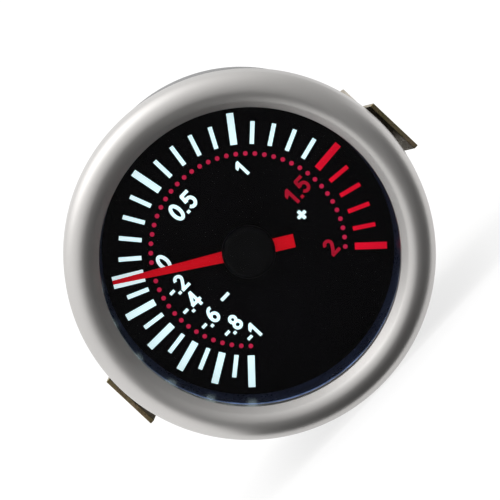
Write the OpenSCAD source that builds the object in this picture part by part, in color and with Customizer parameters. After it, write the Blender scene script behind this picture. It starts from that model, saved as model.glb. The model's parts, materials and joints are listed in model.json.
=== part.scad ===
// Boost gauge for a 52 mm panel hole, with its bourdon tube movement, clamp bracket and hose nipple.
// The gauge's axis is Y. The dial faces -Y and reads upright, and the bezel's rear face is at Y = 0.

/* [Bezel] */
// Width of the bezel beyond the can
bezel_overhang = 4; // [3.6:0.1:7]
// Distance of the edge of the bezel's opening inside the can's radius
opening_inset = 1.7; // [1.2:0.1:2.4]
// Height of the bezel in front of the panel
bezel_h = 7; // [6.4:0.1:8.4]
// Radius of the bezel's rounded front towards its outside
crown_r = 2.5; // [2:0.1:3]
// Radius of the bezel's rounded front towards the opening
inner_crown_r = 1.7; // [1.2:0.1:2]
// Slope of the bezel's cone down to the lens
cone_angle = 55; // [45:1:60]
// Thickness of the bezel's edge round the opening
lip_edge_t = 0.3; // [0.2:0.05:0.8]
// Wall of the bezel outside the lens
bezel_wall = 1.5; // [1:0.1:1.8]
// Thickness of the lip crimped behind the can's flange
crimp_t = 0.6; // [0.5:0.1:1]
// Thickness of the lens
lens_t = 1.4; // [1:0.1:2]
// Thickness of the gasket behind the lens
gasket_t = 0.6; // [0.4:0.1:1]
// Width of the gasket behind the lens
gasket_w = 2.5; // [1.5:0.1:2.6]

/* [Can] */
// Outer diameter of the can, which goes through the panel
can_d = 52; // [51:0.2:53]
// Thickness of the can's sheet
can_t = 0.8; // [0.6:0.1:1]
// Outer radius of the can's rear corner
can_corner_r = 2; // [1.4:0.1:3]
// Radius of the groove of the bead that carries the dial
bead_r = 0.9; // [0.6:0.1:1.1]

/* [Dial and lamps] */
// Depth of the dial's face behind the panel's face
dial_depth = 3; // [2:0.1:3.6]
// Thickness of the dial
dial_t = 0.8; // [0.5:0.1:1.2]
// Thickness of the light guide
guide_t = 1.8; // [1.4:0.1:2.4]
// Thickness of the lamp board
board_t = 1; // [0.8:0.1:1.6]
// Radius of the lamp board's inner edge
board_hole_r = 14; // [12:0.5:16]
// Number of lamps
lamp_n = 6; // [3:1:10]
// Distance of the lamps inside the dial's edge
lamp_inset = 5; // [4:0.1:7]
// Length of one lamp
lamp_l = 2; // [1.6:0.1:2.6]
// Width of one lamp
lamp_w = 1.25; // [0.8:0.05:1.6]
// Height of one lamp
lamp_h = 0.8; // [0.5:0.05:1]
// Thickness of the spacer ring at the lens
spacer_t = 0.4; // [0.3:0.1:1]
// Thickness of the spacer ring at the dial
spacer_foot_t = 1.3; // [0.6:0.1:1.6]

/* [Pointer] */
// Distance of the pointer's tip inside the dial's edge
pointer_inset = 2.5; // [2:0.1:5]
// Length of the pointer's tail
tail_l = 7.6; // [6:0.1:9]
// Width of the pointer at its hub
pointer_w = 2.1; // [1.4:0.1:2.8]
// Width of the pointer at its tip
pointer_tip_w = 0.65; // [0.4:0.05:1.2]
// Width of the pointer's tail
tail_w = 2.2; // [1.4:0.1:3]
// Thickness of the pointer
pointer_t = 0.6; // [0.4:0.1:0.8]
// Gap between the pointer and the dial
pointer_gap = 1.3; // [1:0.1:1.5]
// Diameter of the hub cap
cap_d = 8.7; // [7:0.1:10]
// Height of the hub cap
cap_h = 1.6; // [1.2:0.1:2]
// Angle of the pointer at 0 bar, from +X towards +Z
zero_angle = 147.3; // [120:0.1:160]
// Sweep of the pressure scale from 0 to 2 bar
pressure_sweep = 192; // [160:1:200]
// Sweep of the vacuum scale from 0 to -1 bar
vacuum_sweep = 78; // [60:1:90]

/* [Movement] */
// Module of the pinion's and the sector's teeth
tooth_module = 0.25; // [0.24:0.002:0.26]
// Teeth of the pinion
pinion_teeth = 14; // [14:1:16]
// Teeth that a full circle of the sector's pitch would have
sector_teeth = 98; // [94:1:100]
// Thickness of the sector
sector_t = 0.8; // [0.6:0.1:1]
// Face width of the pinion
pinion_w = 2; // [1.6:0.1:2.2]
// Thickness of the movement's plates
plate_t = 1; // [0.8:0.1:1.2]
// Space between the movement's plates
plate_space = 4; // [3.8:0.1:4.6]
// Gap between the lamp board and the movement
movement_gap = 1.2; // [1:0.1:2]
// Radius of the movement's pillars
pillar_r = 1.2; // [1:0.05:1.3]
// Radius of the arbors between the plates
arbor_r = 1; // [0.9:0.05:1.1]
// Radius of the arbors' pivots
pivot_r = 0.6; // [0.5:0.05:0.7]
// Distance of the link's pin from the sector's axis
lever_r = 4.45; // [4.2:0.05:4.7]
// Distance between the link's two holes
link_l = 10.5; // [10:0.1:11]
// Width of the link
link_w = 1.4; // [1.3:0.1:1.5]
// Thickness of the link
link_t = 0.6; // [0.4:0.1:0.7]
// Radius of the link's pin and of the tube tip's pin
link_pin_r = 0.5; // [0.4:0.05:0.6]
// Turns of the hairspring
hairspring_turns = 4; // [3:0.5:5]
// Height of the hairspring's strip
hairspring_h = 0.7; // [0.5:0.05:0.8]

/* [Bourdon tube] */
// Gap between the tube and the can
tube_inset = 5.2; // [4.6:0.1:5.4]
// Width of the tube across the bend
tube_w = 3; // [2.6:0.1:3.2]
// Width of the tube along the gauge's axis
tube_h = 7; // [6:0.1:7.6]
// Wall of the tube
tube_wall = 0.4; // [0.3:0.05:0.6]
// Angle that the tube bends through
tube_arc = 255; // [252:1:258]

/* [Pressure port] */
// Length of the pressure block behind the movement
block_l = 7.5; // [6:0.1:12]
// Distance of the stem and the studs below the gauge's axis
rear_row_drop = 3; // [2.4:0.1:3.6]
// Diameter of the threaded stem
stem_d = 10; // [9:0.1:10.4]
// Length of the stem outside the can
stem_l = 4.7; // [4.4:0.1:5.4]
// Width across flats of the stem nut
stem_nut_af = 13; // [12:0.5:14]
// Thickness of the stem nut
stem_nut_t = 3; // [2.4:0.1:3.4]
// Radius of the nipple's neck between its barbs
barb_neck_r = 2; // [1.8:0.05:2.2]
// Radius of the barbs' crests, which hold the hose
barb_r = 2.6; // [2.4:0.05:3]
// Length of a barb's slope
barb_slope_l = 2.8; // [2:0.1:3.4]
// Length of a barb's crest
barb_crest_l = 1; // [0.6:0.1:1.4]
// Number of barbs
barb_n = 3; // [2:1:4]
// Radius of the nipple's bore
nipple_bore_r = 1; // [0.8:0.05:1.2]
// Width across flats of the nipple's hexagon
nipple_af = 9; // [8:0.5:10]

/* [Clamp bracket] */
// Thickness of the bracket's sheet
bracket_t = 0.75; // [0.6:0.05:1]
// Width of the bracket's legs
bracket_w = 10; // [8:0.5:12]
// Distance of the outside of the feet beyond the bezel
foot_overhang = 1.3; // [0.8:0.1:3]
// Distance of the feet behind the panel's face at rest
foot_gap = 1.2; // [0.8:0.1:3]
// Gap between the can and the bracket's base at rest
bracket_gap = 6.7; // [5:0.1:10]
// Depth at which the legs start to splay
splay_depth = 16; // [12:0.5:20]
// Gap between the legs and the can
leg_gap = 0.6; // [0.4:0.1:1]
// Inner radius of the bracket's bends
bend_r = 1; // [0.6:0.1:1.6]
// Radius of the eye round the nipple
eye_r = 9.5; // [8.8:0.1:10.5]
// Radius of the hole in the eye
eye_hole_r = 6.5; // [6:0.1:7]
// Distance of the studs inside the can's radius
stud_inset = 9; // [8:0.1:10]
// Radius of the studs
stud_r = 2; // [1.9:0.05:2.2]
// Length of the studs behind the can
stud_l = 18.2; // [18:0.1:22]
// Width across flats of the stud nuts
nut_af = 7; // [6.5:0.1:8]
// Thickness of the stud nuts
nut_t = 3.2; // [2.8:0.1:3.6]

/* [Hidden] */
$fn = 96;

// Clearances shared by all pieces, and the overrun of the cuts
cut = 1;
slip = 0.05;
press_slip = 0.01;
loose = 0.2;
crimp_clearance = 0.3;
end_play = 0.1;

// Stack from the panel's face forwards
can_r = can_d / 2;
can_bore_r = can_r - can_t;
bezel_r = can_r + bezel_overhang;
opening_r = can_r - opening_inset;
crown_steps = 12;
lens_r = bezel_r - bezel_wall - loose;
flange_front_y = -crimp_t - can_t;
gasket_front_y = flange_front_y - gasket_t;
lens_front_y = gasket_front_y - lens_t;

// Stack from the lens back to the can's rear wall
inner_r = can_bore_r - loose;
dial_rear_y = dial_depth + dial_t;
board_front_y = dial_rear_y + guide_t;
board_rear_y = board_front_y + board_t;
bead_bump_r = bead_r + can_t;
bead_y = board_rear_y + sqrt(pow(bead_bump_r, 2) - pow(can_r - inner_r, 2));
front_plate_y = board_rear_y + movement_gap;
gap_front_y = front_plate_y + plate_t;
gap_rear_y = gap_front_y + plate_space;
back_plate_rear_y = gap_rear_y + plate_t;
lamp_circle_r = inner_r - lamp_inset;

// Holes through the dial and the light guide
dial_hole_r = 1.6;
guide_hole_r = 3;
lamp_pocket_r = 1.6;

// Pointer and its hub
pointer_l = inner_r - pointer_inset;
pointer_rear_y = dial_depth - pointer_gap;
pointer_front_y = pointer_rear_y - pointer_t;
pointer_hub_r = 2.6;
pointer_hub_flat = 0.5;
cap_corner_r = 0.6;
cap_bore_depth = 0.4;
bush_r = 1.4;
bush_l = 0.9;

// Gear train: centres and angles, seen from the front, from +X towards +Z
gear_ratio = sector_teeth / pinion_teeth;
pinion_pitch_r = tooth_module * pinion_teeth / 2;
sector_pitch_r = tooth_module * sector_teeth / 2;
centre_distance = pinion_pitch_r + sector_pitch_r;
sector_side = -35;
pressure_angle = 20;
addendum_share = 0.85;
dedendum_share = 1.2;
backlash = 0.045;
flank_steps = 4;
spare_teeth = 2;
sector_centre = centre_distance * [cos(sector_side), sin(sector_side)];
lever_angle = -(pressure_sweep - vacuum_sweep) / 2 / gear_ratio;
link_pin_centre = sector_centre + lever_r * [cos(lever_angle), sin(lever_angle)];
open_pivot_offset = 0.08;
tip_pin_centre = link_pin_centre + [-open_pivot_offset, link_l];

// Sector plate
sector_y = gap_front_y + (plate_space - sector_t) / 4;
pinion_y = sector_y - (pinion_w - sector_t) / 2;
sector_hub_r = 2.7;
sector_arm_w = 1.8;
sector_arm_share = 1.2;
sector_rim_t = 1.5;
lever_w = 1.6;
lever_eye_r = 1.2;

// Link and its two pins
link_y = sector_y + sector_t + end_play;
open_pivot_clearance = 0.3;
open_pivot_hole_r = link_pin_r + open_pivot_clearance;
link_eye_wall = 0.55;
pin_head_r = 0.9;
pin_head_t = 0.4;
tip_pin_overhang = 0.3;

// Hairspring and what holds its ends
collet_r = 1.5;
collet_l = 1.1;
collet_y = pinion_y + pinion_w + end_play;
hairspring_y = collet_y + (collet_l - hairspring_h) / 2;
hairspring_t = 0.15;
hairspring_outer_r = 4.3;
hairspring_end_angle = 60;
hairspring_steps = 24;
hairspring_stud_r = 0.45;

// Movement plates: places of the pillars and standoffs, and the outline's lobes
pillar_beyond_arbor = 6.5;
side_pillar_r = 4;
side_pillar_angle = 60;
low_pillar_r = 4.6;
low_pillar_angle = 250;
pillars = [
    pillar_beyond_arbor * [cos(sector_side + 180), sin(sector_side + 180)],
    sector_centre + side_pillar_r * [cos(side_pillar_angle), sin(side_pillar_angle)],
    sector_centre + low_pillar_r * [cos(low_pillar_angle), sin(low_pillar_angle)]
];
standoff_x = 4;
standoff_rise = 6;
tube_r = can_bore_r - tube_inset - tube_w / 2;
standoff_lower_z = standoff_rise - tube_r;
standoff_upper_z = standoff_lower_z + standoff_rise;
standoffs = [[-standoff_x, standoff_upper_z], [standoff_x, standoff_lower_z]];
arbor_lobe_r = 6;
sector_lobe_r = 3.6;
pillar_lobe_r = 2.6;
tenon_r = 0.7;

// Small screws
screw_r = 0.5;
screw_head_r = 1.3;
screw_head_t = 0.8;
screw_depth = 1.6;
standoff_r = 1.6;
standoff_screw_r = 0.75;
standoff_screw_head_r = 1.5;
standoff_screw_depth = 2.6;
slot_w = 0.35;
slot_depth = 0.35;

// Bourdon tube, from its root under the axis round to its tip
tube_gap = 1.7;
tube_front_y = back_plate_rear_y + tube_gap;
tube_rear_y = tube_front_y + tube_h;
tube_mid_y = tube_front_y + tube_h / 2;
root_angle = -90;
tip_angle = root_angle + 360 - tube_arc;
tip_cap_wall = 0.8;
tip_pocket_arc = 3;
tip_cap_arc = 6;
tip_arm_w = 2;
tip_eye_r = 1.3;
tip_arm_t = 2;

// Pressure block behind the movement
block_gap = 3.5;
block_w = 12;
block_top_z = 5;
block_front_y = tube_rear_y + block_gap;
stem_gasket_t = 0.5;
block_rear_y = block_front_y + block_l;
can_rear_inside_y = block_rear_y + stem_gasket_t;
can_depth = can_rear_inside_y + can_t;
lug_wall = 1.5;
lug_front_wall = 1;
lug_pocket_l = 2;
passage_r = 0.8;
passage_depth = 4;
passage_x = 1.5;
stem_r = stem_d / 2;
stem_end_y = can_depth + stem_l;
stem_hole_clearance = 0.1;
stem_bore_r = 3;
spigot_l = 6;
stem_washer_t = 0.6;
stem_washer_w = 2.4;
restrictor_r = 1.6;
restrictor_l = 1.5;
restrictor_hole_r = 0.3;

// Hose nipple
nipple_hex_t = 3;
nipple_neck_l = 3;
barb_pitch = barb_crest_l + barb_slope_l;
nipple_hex_y = stem_end_y;
neck_y = nipple_hex_y + nipple_hex_t;
barb_y = neck_y + nipple_neck_l;
nipple_end_y = barb_y + barb_n * barb_pitch;

// Wire grommet above the stem
grommet_z = 13;
grommet_hole_r = 4;
grommet_flange_r = 5.5;
grommet_inner_t = 1.2;
grommet_outer_t = 1.5;
wire_hole_r = 1.8;

// Clamp bracket
bracket_depth = can_depth + bracket_gap;
base_rear_y = bracket_depth + bracket_t;
leg_in_x = can_r + leg_gap;
leg_out_x = leg_in_x + bracket_t;
foot_x = bezel_r + foot_overhang;
splay_angle = atan((foot_x - leg_out_x) / (splay_depth - foot_gap));
foot_w = bracket_t / cos(splay_angle);

// Studs, washers and nuts
stud_x = can_r - stud_inset;
stud_head_r = 3.2;
stud_head_t = 1;
washer_t = 0.8;
washer_r = 4.5;
washer_clearance = 0.15;
lock_washer_t = 0.9;
lock_washer_r = 3.6;
lock_washer_arc = 345;
hex_chamfer_angle = 30;
washer_y = base_rear_y;
lock_washer_y = washer_y + washer_t;
nut_y = lock_washer_y + lock_washer_t;

// A profile of radius and depth turned round the gauge's axis
module revolve() rotate([-90, 0, 0]) rotate_extrude() children();

// The same over part of a turn, from an angle seen from the front
module arc_sweep(from, sweep)
    rotate([90, 0, 0]) rotate([0, 0, from]) rotate_extrude(angle = sweep) mirror([0, 1, 0]) children();

// A front view outline, extruded back from a depth
module at_depth(y, h) translate([0, y + h, 0]) rotate([90, 0, 0]) linear_extrude(h) children();

// A round rod along the depth
module rod(y, h, r) translate([0, y, 0]) rotate([-90, 0, 0]) cylinder(h = h, r = r);

// Places children at a point of the front view
module at(p) translate([p[0], 0, p[1]]) children();

// A band of a profile: from one radius to another, from one depth to another
module band(r0, r1, y0, y1) translate([r0, y0]) square([r1 - r0, y1 - y0]);

// Flat bar between two points of an outline
module bar(a, b, w)
    translate(a) rotate(atan2(b[1] - a[1], b[0] - a[0])) translate([0, -w / 2]) square([norm(b - a), w]);

// Hexagon with turned chamfers and a bore
module hexagon(y, t, flats, bore_r) {
    corner_r = flats / 2 / cos(180 / 6);
    chamfer_h = (corner_r - flats / 2) * tan(hex_chamfer_angle);
    translate([0, y, 0]) difference() {
        intersection() {
            rotate([-90, 0, 0]) cylinder(h = t, r = corner_r, $fn = 6);
            revolve() polygon([
                [0, 0], [flats / 2, 0], [corner_r, chamfer_h],
                [corner_r, t - chamfer_h], [flats / 2, t], [0, t]
            ]);
        }
        rod(-cut, t + 2 * cut, bore_r);
    }
}

// Closed cup outline with a round rear corner, for turning
module cup_outline(r, front, rear, corner) {
    band(0, r, front, rear - corner);
    band(0, r - corner, front, rear);
    translate([r - corner, rear - corner]) circle(corner);
}

// Angle in degrees between an involute's start and its point at radius r
function involute_angle(base_r, r) =
    let (a = acos(base_r / max(r, base_r))) tan(a) * 180 / PI - a;

// Half of a tooth's angle at radius r
function half_tooth(pitch_r, teeth, r) =
    let (base_r = pitch_r * cos(pressure_angle))
    90 / teeth - backlash / pitch_r * 90 / PI
        + involute_angle(base_r, pitch_r) - involute_angle(base_r, r);

// Outline of one gear tooth pointing along +X, from root to root
function tooth_points(pitch_r, teeth) =
    let (
        root_r = pitch_r - dedendum_share * tooth_module,
        tip_r = pitch_r + addendum_share * tooth_module,
        radii = [for (i = [0:flank_steps]) root_r + (tip_r - root_r) * i / flank_steps],
        flank = [for (r = radii) let (a = half_tooth(pitch_r, teeth, r)) r * [cos(a), sin(a)]]
    )
    concat([for (p = flank) [p[0], -p[1]]], [for (i = [flank_steps:-1:0]) flank[i]]);

// A point turned round the origin
function turned(p, angle) =
    [p[0] * cos(angle) - p[1] * sin(angle), p[0] * sin(angle) + p[1] * cos(angle)];

// Outline of neighbouring teeth, the first of them at an angle
function teeth_outline(pitch_r, teeth, count, from) =
    [for (i = [0:count - 1]) for (p = tooth_points(pitch_r, teeth)) turned(p, from + i * 360 / teeth)];

// The bourdon tube's oval section, grown by a clearance
module tube_section(grow) {
    half_flat = (tube_h - tube_w) / 2;
    translate([tube_r, tube_mid_y]) {
        for (side = [-1, 1]) translate([0, side * half_flat]) circle(tube_w / 2 + grow);
        translate([-tube_w / 2 - grow, -half_flat]) square([tube_w + 2 * grow, 2 * half_flat]);
    }
}

// Points of an arc of the bezel's front, from an angle to another
function crown_arc(r, from, to, first) =
    [for (i = [first:crown_steps]) let (a = from + (to - from) * i / crown_steps)
        [bezel_r - crown_r + r * cos(a), r - bezel_h - r * sin(a)]];

module bezel() color("silver") revolve() difference() {
    polygon(concat(
        [[opening_r, 0], [bezel_r, 0]],
        crown_arc(crown_r, 0, 90, 0),
        crown_arc(inner_crown_r, 90, 90 + cone_angle, 1),
        [[opening_r, lens_front_y - lip_edge_t]]
    ));
    band(0, lens_r + loose, lens_front_y, -crimp_t);
    band(0, can_r + crimp_clearance, lens_front_y, cut);
}

module lens() color([0.75, 0.8, 0.85, 0.35]) rod(lens_front_y, lens_t, lens_r);

module lens_gasket() color("black") revolve()
    band(lens_r - gasket_w, lens_r, gasket_front_y, flange_front_y);

module can() color("#1c1c1e") difference() {
    revolve() difference() {
        union() {
            cup_outline(can_r, flange_front_y, can_depth, can_corner_r);
            band(0, lens_r, flange_front_y, -crimp_t);
        }
        difference() {
            cup_outline(can_bore_r, flange_front_y - cut, can_rear_inside_y, can_corner_r - can_t);
            translate([can_r, bead_y]) circle(bead_bump_r);
        }
        translate([can_r, bead_y]) circle(bead_r);
    }
    at([0, -rear_row_drop]) rod(can_rear_inside_y - cut, can_t + 2 * cut, stem_r + stem_hole_clearance);
    for (side = [-1, 1]) at([side * stud_x, -rear_row_drop])
        rod(can_rear_inside_y - cut, can_t + 2 * cut, stud_r + slip);
    at([0, grommet_z]) rod(can_rear_inside_y - cut, can_t + 2 * cut, grommet_hole_r);
}

module spacer_ring() color("#15151c") revolve() polygon([
    [inner_r - spacer_t, lens_front_y + lens_t], [inner_r, lens_front_y + lens_t],
    [inner_r, dial_depth], [inner_r - spacer_foot_t, dial_depth]
]);

module dial() color("#101012") revolve() band(dial_hole_r, inner_r, dial_depth, dial_rear_y);

module light_guide() color("white") difference() {
    revolve() band(guide_hole_r, inner_r, dial_rear_y, board_front_y);
    lamps_round() rod(dial_rear_y - cut, guide_t + 2 * cut, lamp_pocket_r);
}

module led_board() color("seagreen") revolve() band(board_hole_r, inner_r, board_front_y, board_rear_y);

// One child for each lamp, on the lamp circle
module lamps_round() for (i = [0:lamp_n - 1])
    rotate([0, i * 360 / lamp_n, 0]) translate([0, 0, lamp_circle_r]) children();

module led_lamps() color("ivory") lamps_round()
    translate([-lamp_l / 2, board_front_y - lamp_h, -lamp_w / 2]) cube([lamp_l, lamp_h, lamp_w]);

// Outline of a movement plate: one blank round the arbors, pillars and standoffs
module plate_outline() hull() {
    circle(arbor_lobe_r, $fn = 32);
    translate(sector_centre) circle(sector_lobe_r, $fn = 32);
    for (p = concat(pillars, standoffs)) translate(p) circle(pillar_lobe_r, $fn = 32);
}

// Holes of the two arbors' pivots
module pivot_holes(y) for (p = [[0, 0], sector_centre])
    at(p) rod(y - cut, plate_t + 2 * cut, pivot_r + slip);

module movement_front_plate() color("goldenrod") difference() {
    at_depth(front_plate_y, plate_t) plate_outline();
    pivot_holes(front_plate_y);
    for (p = pillars) at(p) rod(front_plate_y - cut, plate_t + 2 * cut, screw_r + slip);
}

module movement_back_plate() color("goldenrod") difference() {
    at_depth(gap_rear_y, plate_t) plate_outline();
    pivot_holes(gap_rear_y);
    for (p = pillars) at(p) rod(gap_rear_y - cut, plate_t + 2 * cut, tenon_r + slip);
    for (p = standoffs) at(p) rod(gap_rear_y - cut, plate_t + 2 * cut, standoff_screw_r + slip);
}

module movement_pillars() color("gold") for (p = pillars) at(p) difference() {
    union() {
        rod(gap_front_y, plate_space, pillar_r);
        rod(gap_rear_y, plate_t, tenon_r);
    }
    rod(gap_front_y - cut, screw_depth + loose + cut, screw_r + slip);
}

// Slotted cheese-head screw whose head's rear face is at a depth
module slotted_screw(y, head_r, head_t, shank_r, shank_l) difference() {
    union() {
        rod(y - head_t, head_t, head_r);
        rod(y, shank_l, shank_r);
    }
    translate([-head_r - cut, y - head_t - cut, -slot_w / 2])
        cube([2 * (head_r + cut), slot_depth + cut, slot_w]);
}

module movement_screws() color("lightgray") for (p = pillars) at(p)
    slotted_screw(front_plate_y, screw_head_r, screw_head_t, screw_r, plate_t + screw_depth);

module movement_standoffs() color("gold") for (p = standoffs) at(p) difference() {
    rod(back_plate_rear_y, block_front_y - back_plate_rear_y, standoff_r);
    rod(back_plate_rear_y - cut, block_front_y - back_plate_rear_y + 2 * cut, standoff_screw_r + slip);
}

module standoff_screws() color("lightgray") for (p = standoffs) at(p)
    slotted_screw(
        gap_rear_y, standoff_screw_head_r, screw_head_t, standoff_screw_r,
        block_front_y - gap_rear_y + standoff_screw_depth
    );

module pressure_block() color("darkgoldenrod") {
    foot_z = -tube_r - tube_w / 2 - lug_wall;
    lug_h = tube_w + 2 * lug_wall;
    lug_front_y = tube_front_y - lug_front_wall;
    passage_y = block_front_y + passage_depth;
    difference() {
        union() {
            translate([-block_w / 2, block_front_y, foot_z])
                cube([block_w, block_rear_y - block_front_y, block_top_z - foot_z]);
            translate([-lug_pocket_l, lug_front_y, foot_z])
                cube([block_w / 2 + lug_pocket_l, block_front_y - lug_front_y, lug_h]);
            at([0, -rear_row_drop]) rod(block_front_y, stem_end_y - block_front_y, stem_r);
        }
        arc_sweep(root_angle - tube_arc, tube_arc) tube_section(slip);
        at([0, -rear_row_drop]) rod(stem_end_y - spigot_l, spigot_l + cut, stem_bore_r);
        at([0, -rear_row_drop]) rod(passage_y, stem_end_y - passage_y, passage_r);
        translate([0, passage_y, -tube_r]) cylinder(h = tube_r - rear_row_drop, r = passage_r);
        at([passage_x, -tube_r]) rod(tube_mid_y, passage_y - tube_mid_y, passage_r);
        translate([0, tube_mid_y, -tube_r]) rotate([0, 90, 0])
            translate([0, 0, -slip]) cylinder(h = passage_x + slip, r = passage_r);
        for (p = standoffs) at(p)
            rod(block_front_y - cut, standoff_screw_depth + loose + cut, standoff_screw_r + slip);
    }
}

module stem_gasket() color("firebrick") at([0, -rear_row_drop]) difference() {
    rod(block_rear_y, stem_gasket_t, block_w / 2 + loose);
    rod(block_rear_y - cut, stem_gasket_t + 2 * cut, stem_r + slip);
}

module stem_washer() color("silver") at([0, -rear_row_drop]) difference() {
    rod(can_depth, stem_washer_t, stem_r + stem_washer_w);
    rod(can_depth - cut, stem_washer_t + 2 * cut, stem_r + stem_hole_clearance);
}

module stem_nut() color("goldenrod") at([0, -rear_row_drop])
    hexagon(can_depth + stem_washer_t, stem_nut_t, stem_nut_af, stem_r + slip);

module hose_nipple() color("gold") at([0, -rear_row_drop]) difference() {
    union() {
        rod(stem_end_y - spigot_l, spigot_l, stem_bore_r - slip);
        hexagon(nipple_hex_y, nipple_hex_t, nipple_af, nipple_bore_r);
        rod(neck_y, nipple_end_y - neck_y, barb_neck_r);
        for (i = [0:barb_n - 1]) translate([0, barb_y + i * barb_pitch, 0]) rotate([-90, 0, 0]) {
            cylinder(h = barb_crest_l, r = barb_r);
            translate([0, 0, barb_crest_l]) cylinder(h = barb_slope_l, r1 = barb_r, r2 = barb_neck_r);
        }
    }
    rod(stem_end_y - spigot_l - cut, nipple_end_y - stem_end_y + spigot_l + 2 * cut, nipple_bore_r);
    rod(stem_end_y - spigot_l - cut, restrictor_l + cut, restrictor_r);
}

module restrictor() color("peru") at([0, -rear_row_drop]) difference() {
    rod(stem_end_y - spigot_l, restrictor_l, restrictor_r - press_slip);
    rod(stem_end_y - spigot_l - cut, restrictor_l + 2 * cut, restrictor_hole_r);
}

module wire_grommet() color("#202020") at([0, grommet_z]) revolve() {
    band(wire_hole_r, grommet_flange_r, can_rear_inside_y - grommet_inner_t, can_rear_inside_y);
    band(wire_hole_r, grommet_hole_r - slip, can_rear_inside_y, can_depth);
    band(wire_hole_r, grommet_flange_r, can_depth, can_depth + grommet_outer_t);
}

module bracket_studs() color("lightgray") for (side = [-1, 1]) at([side * stud_x, -rear_row_drop]) {
    rod(can_rear_inside_y - stud_head_t, stud_head_t, stud_head_r);
    rod(can_rear_inside_y, can_t + stud_l, stud_r);
}

module bourdon_tube() color("#b8863b") arc_sweep(root_angle - tube_arc, tube_arc) difference() {
    tube_section(0);
    tube_section(-tube_wall);
}

module hairspring() color("lightsteelblue") {
    inner_r = collet_r + slip;
    steps = hairspring_turns * hairspring_steps;
    angles = [for (i = [0:steps]) hairspring_end_angle - (steps - i) * 360 / hairspring_steps];
    radii = [for (i = [0:steps]) inner_r + (hairspring_outer_r - inner_r) * i / steps];
    inner = [for (i = [0:steps]) radii[i] * [cos(angles[i]), sin(angles[i])]];
    outer = [for (i = [steps:-1:0]) (radii[i] + hairspring_t) * [cos(angles[i]), sin(angles[i])]];
    at_depth(hairspring_y, hairspring_h) polygon(concat(inner, outer));
}

module hairspring_stud() color("gold") {
    r = hairspring_outer_r + hairspring_t + slip + hairspring_stud_r;
    at(r * [cos(hairspring_end_angle), sin(hairspring_end_angle)])
        rod(hairspring_y, gap_rear_y - hairspring_y, hairspring_stud_r);
}

module pointer() color("crimson") difference() {
    at_depth(pointer_front_y, pointer_t) rotate(zero_angle) {
        circle(pointer_hub_r);
        polygon([
            [0, -pointer_w / 2], [pointer_l, -pointer_tip_w / 2],
            [pointer_l, pointer_tip_w / 2], [0, pointer_w / 2]
        ]);
        translate([-tail_l, -tail_w / 2]) square([tail_l, tail_w]);
    }
    rod(pointer_front_y - cut, pointer_t + 2 * cut, pivot_r + press_slip);
}

module hub_cap() color("#181818") revolve() difference() {
    union() {
        band(0, cap_d / 2, pointer_front_y - cap_h + cap_corner_r, pointer_front_y);
        band(0, cap_d / 2 - cap_corner_r, pointer_front_y - cap_h, pointer_front_y);
        translate([cap_d / 2 - cap_corner_r, pointer_front_y - cap_h + cap_corner_r]) circle(cap_corner_r);
    }
    band(0, pivot_r + slip, pointer_front_y - cap_bore_depth, pointer_front_y + cut);
}

module pointer_bush() color("gold") difference() {
    rod(pointer_rear_y, bush_l, bush_r);
    rod(pointer_rear_y - cut, bush_l + 2 * cut, pivot_r + press_slip);
}

// Arbor with a shoulder between the plates and a pivot in each of them
module arbor(front_y) {
    rear_y = back_plate_rear_y - end_play;
    rod(front_y, rear_y - front_y, pivot_r);
    rod(gap_front_y + end_play / 2, plate_space - end_play, arbor_r);
}

module pointer_arbor() color("lightgray") arbor(pointer_front_y - cap_bore_depth + slip);

module pinion() color("gold") difference() {
    // A gap of the pinion faces the sector's middle tooth
    at_depth(pinion_y, pinion_w) polygon(
        teeth_outline(pinion_pitch_r, pinion_teeth, pinion_teeth, sector_side + 180 / pinion_teeth)
    );
    rod(pinion_y - cut, pinion_w + 2 * cut, arbor_r + press_slip);
}

module hairspring_collet() color("gold") difference() {
    rod(collet_y, collet_l, collet_r);
    rod(collet_y - cut, collet_l + 2 * cut, arbor_r + press_slip);
}

module sector_gear() color("darkkhaki") {
    rim_r = sector_pitch_r - dedendum_share * tooth_module - sector_rim_t;
    pitch = 360 / sector_teeth;
    // Teeth on each side of the middle one, for the sweeps of both scales
    low_teeth = ceil(pressure_sweep / gear_ratio / pitch) + spare_teeth;
    high_teeth = ceil(vacuum_sweep / gear_ratio / pitch) + spare_teeth;
    rim_teeth = low_teeth + 1 + high_teeth;
    low_angle = sector_side + 180 - low_teeth * pitch;
    arm_inset = asin(sector_arm_share * sector_arm_w / 2 / rim_r);
    at(sector_centre) difference() {
        at_depth(sector_y, sector_t) {
            polygon(concat(
                teeth_outline(sector_pitch_r, sector_teeth, rim_teeth, low_angle),
                [for (i = [rim_teeth - 1:-1:0]) turned([rim_r, 0], low_angle + i * pitch)]
            ));
            for (a = [low_angle + arm_inset, low_angle + (rim_teeth - 1) * pitch - arm_inset])
                bar([0, 0], (rim_r + sector_rim_t / 2) * [cos(a), sin(a)], sector_arm_w);
            circle(sector_hub_r);
            bar([0, 0], link_pin_centre - sector_centre, lever_w);
            translate(link_pin_centre - sector_centre) circle(lever_eye_r);
        }
        rod(sector_y - cut, sector_t + 2 * cut, arbor_r + press_slip);
        at(link_pin_centre - sector_centre)
            rod(sector_y - cut, sector_t + 2 * cut, link_pin_r + press_slip);
    }
}

module sector_arbor() color("lightgray") at(sector_centre) arbor(front_plate_y + end_play);

module link_pin() color("silver") at(link_pin_centre) {
    rod(sector_y - pin_head_t, pin_head_t, pin_head_r);
    rod(sector_y, link_y + link_t + slip - sector_y, link_pin_r);
    rod(link_y + link_t + slip, pin_head_t, pin_head_r);
}

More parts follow.
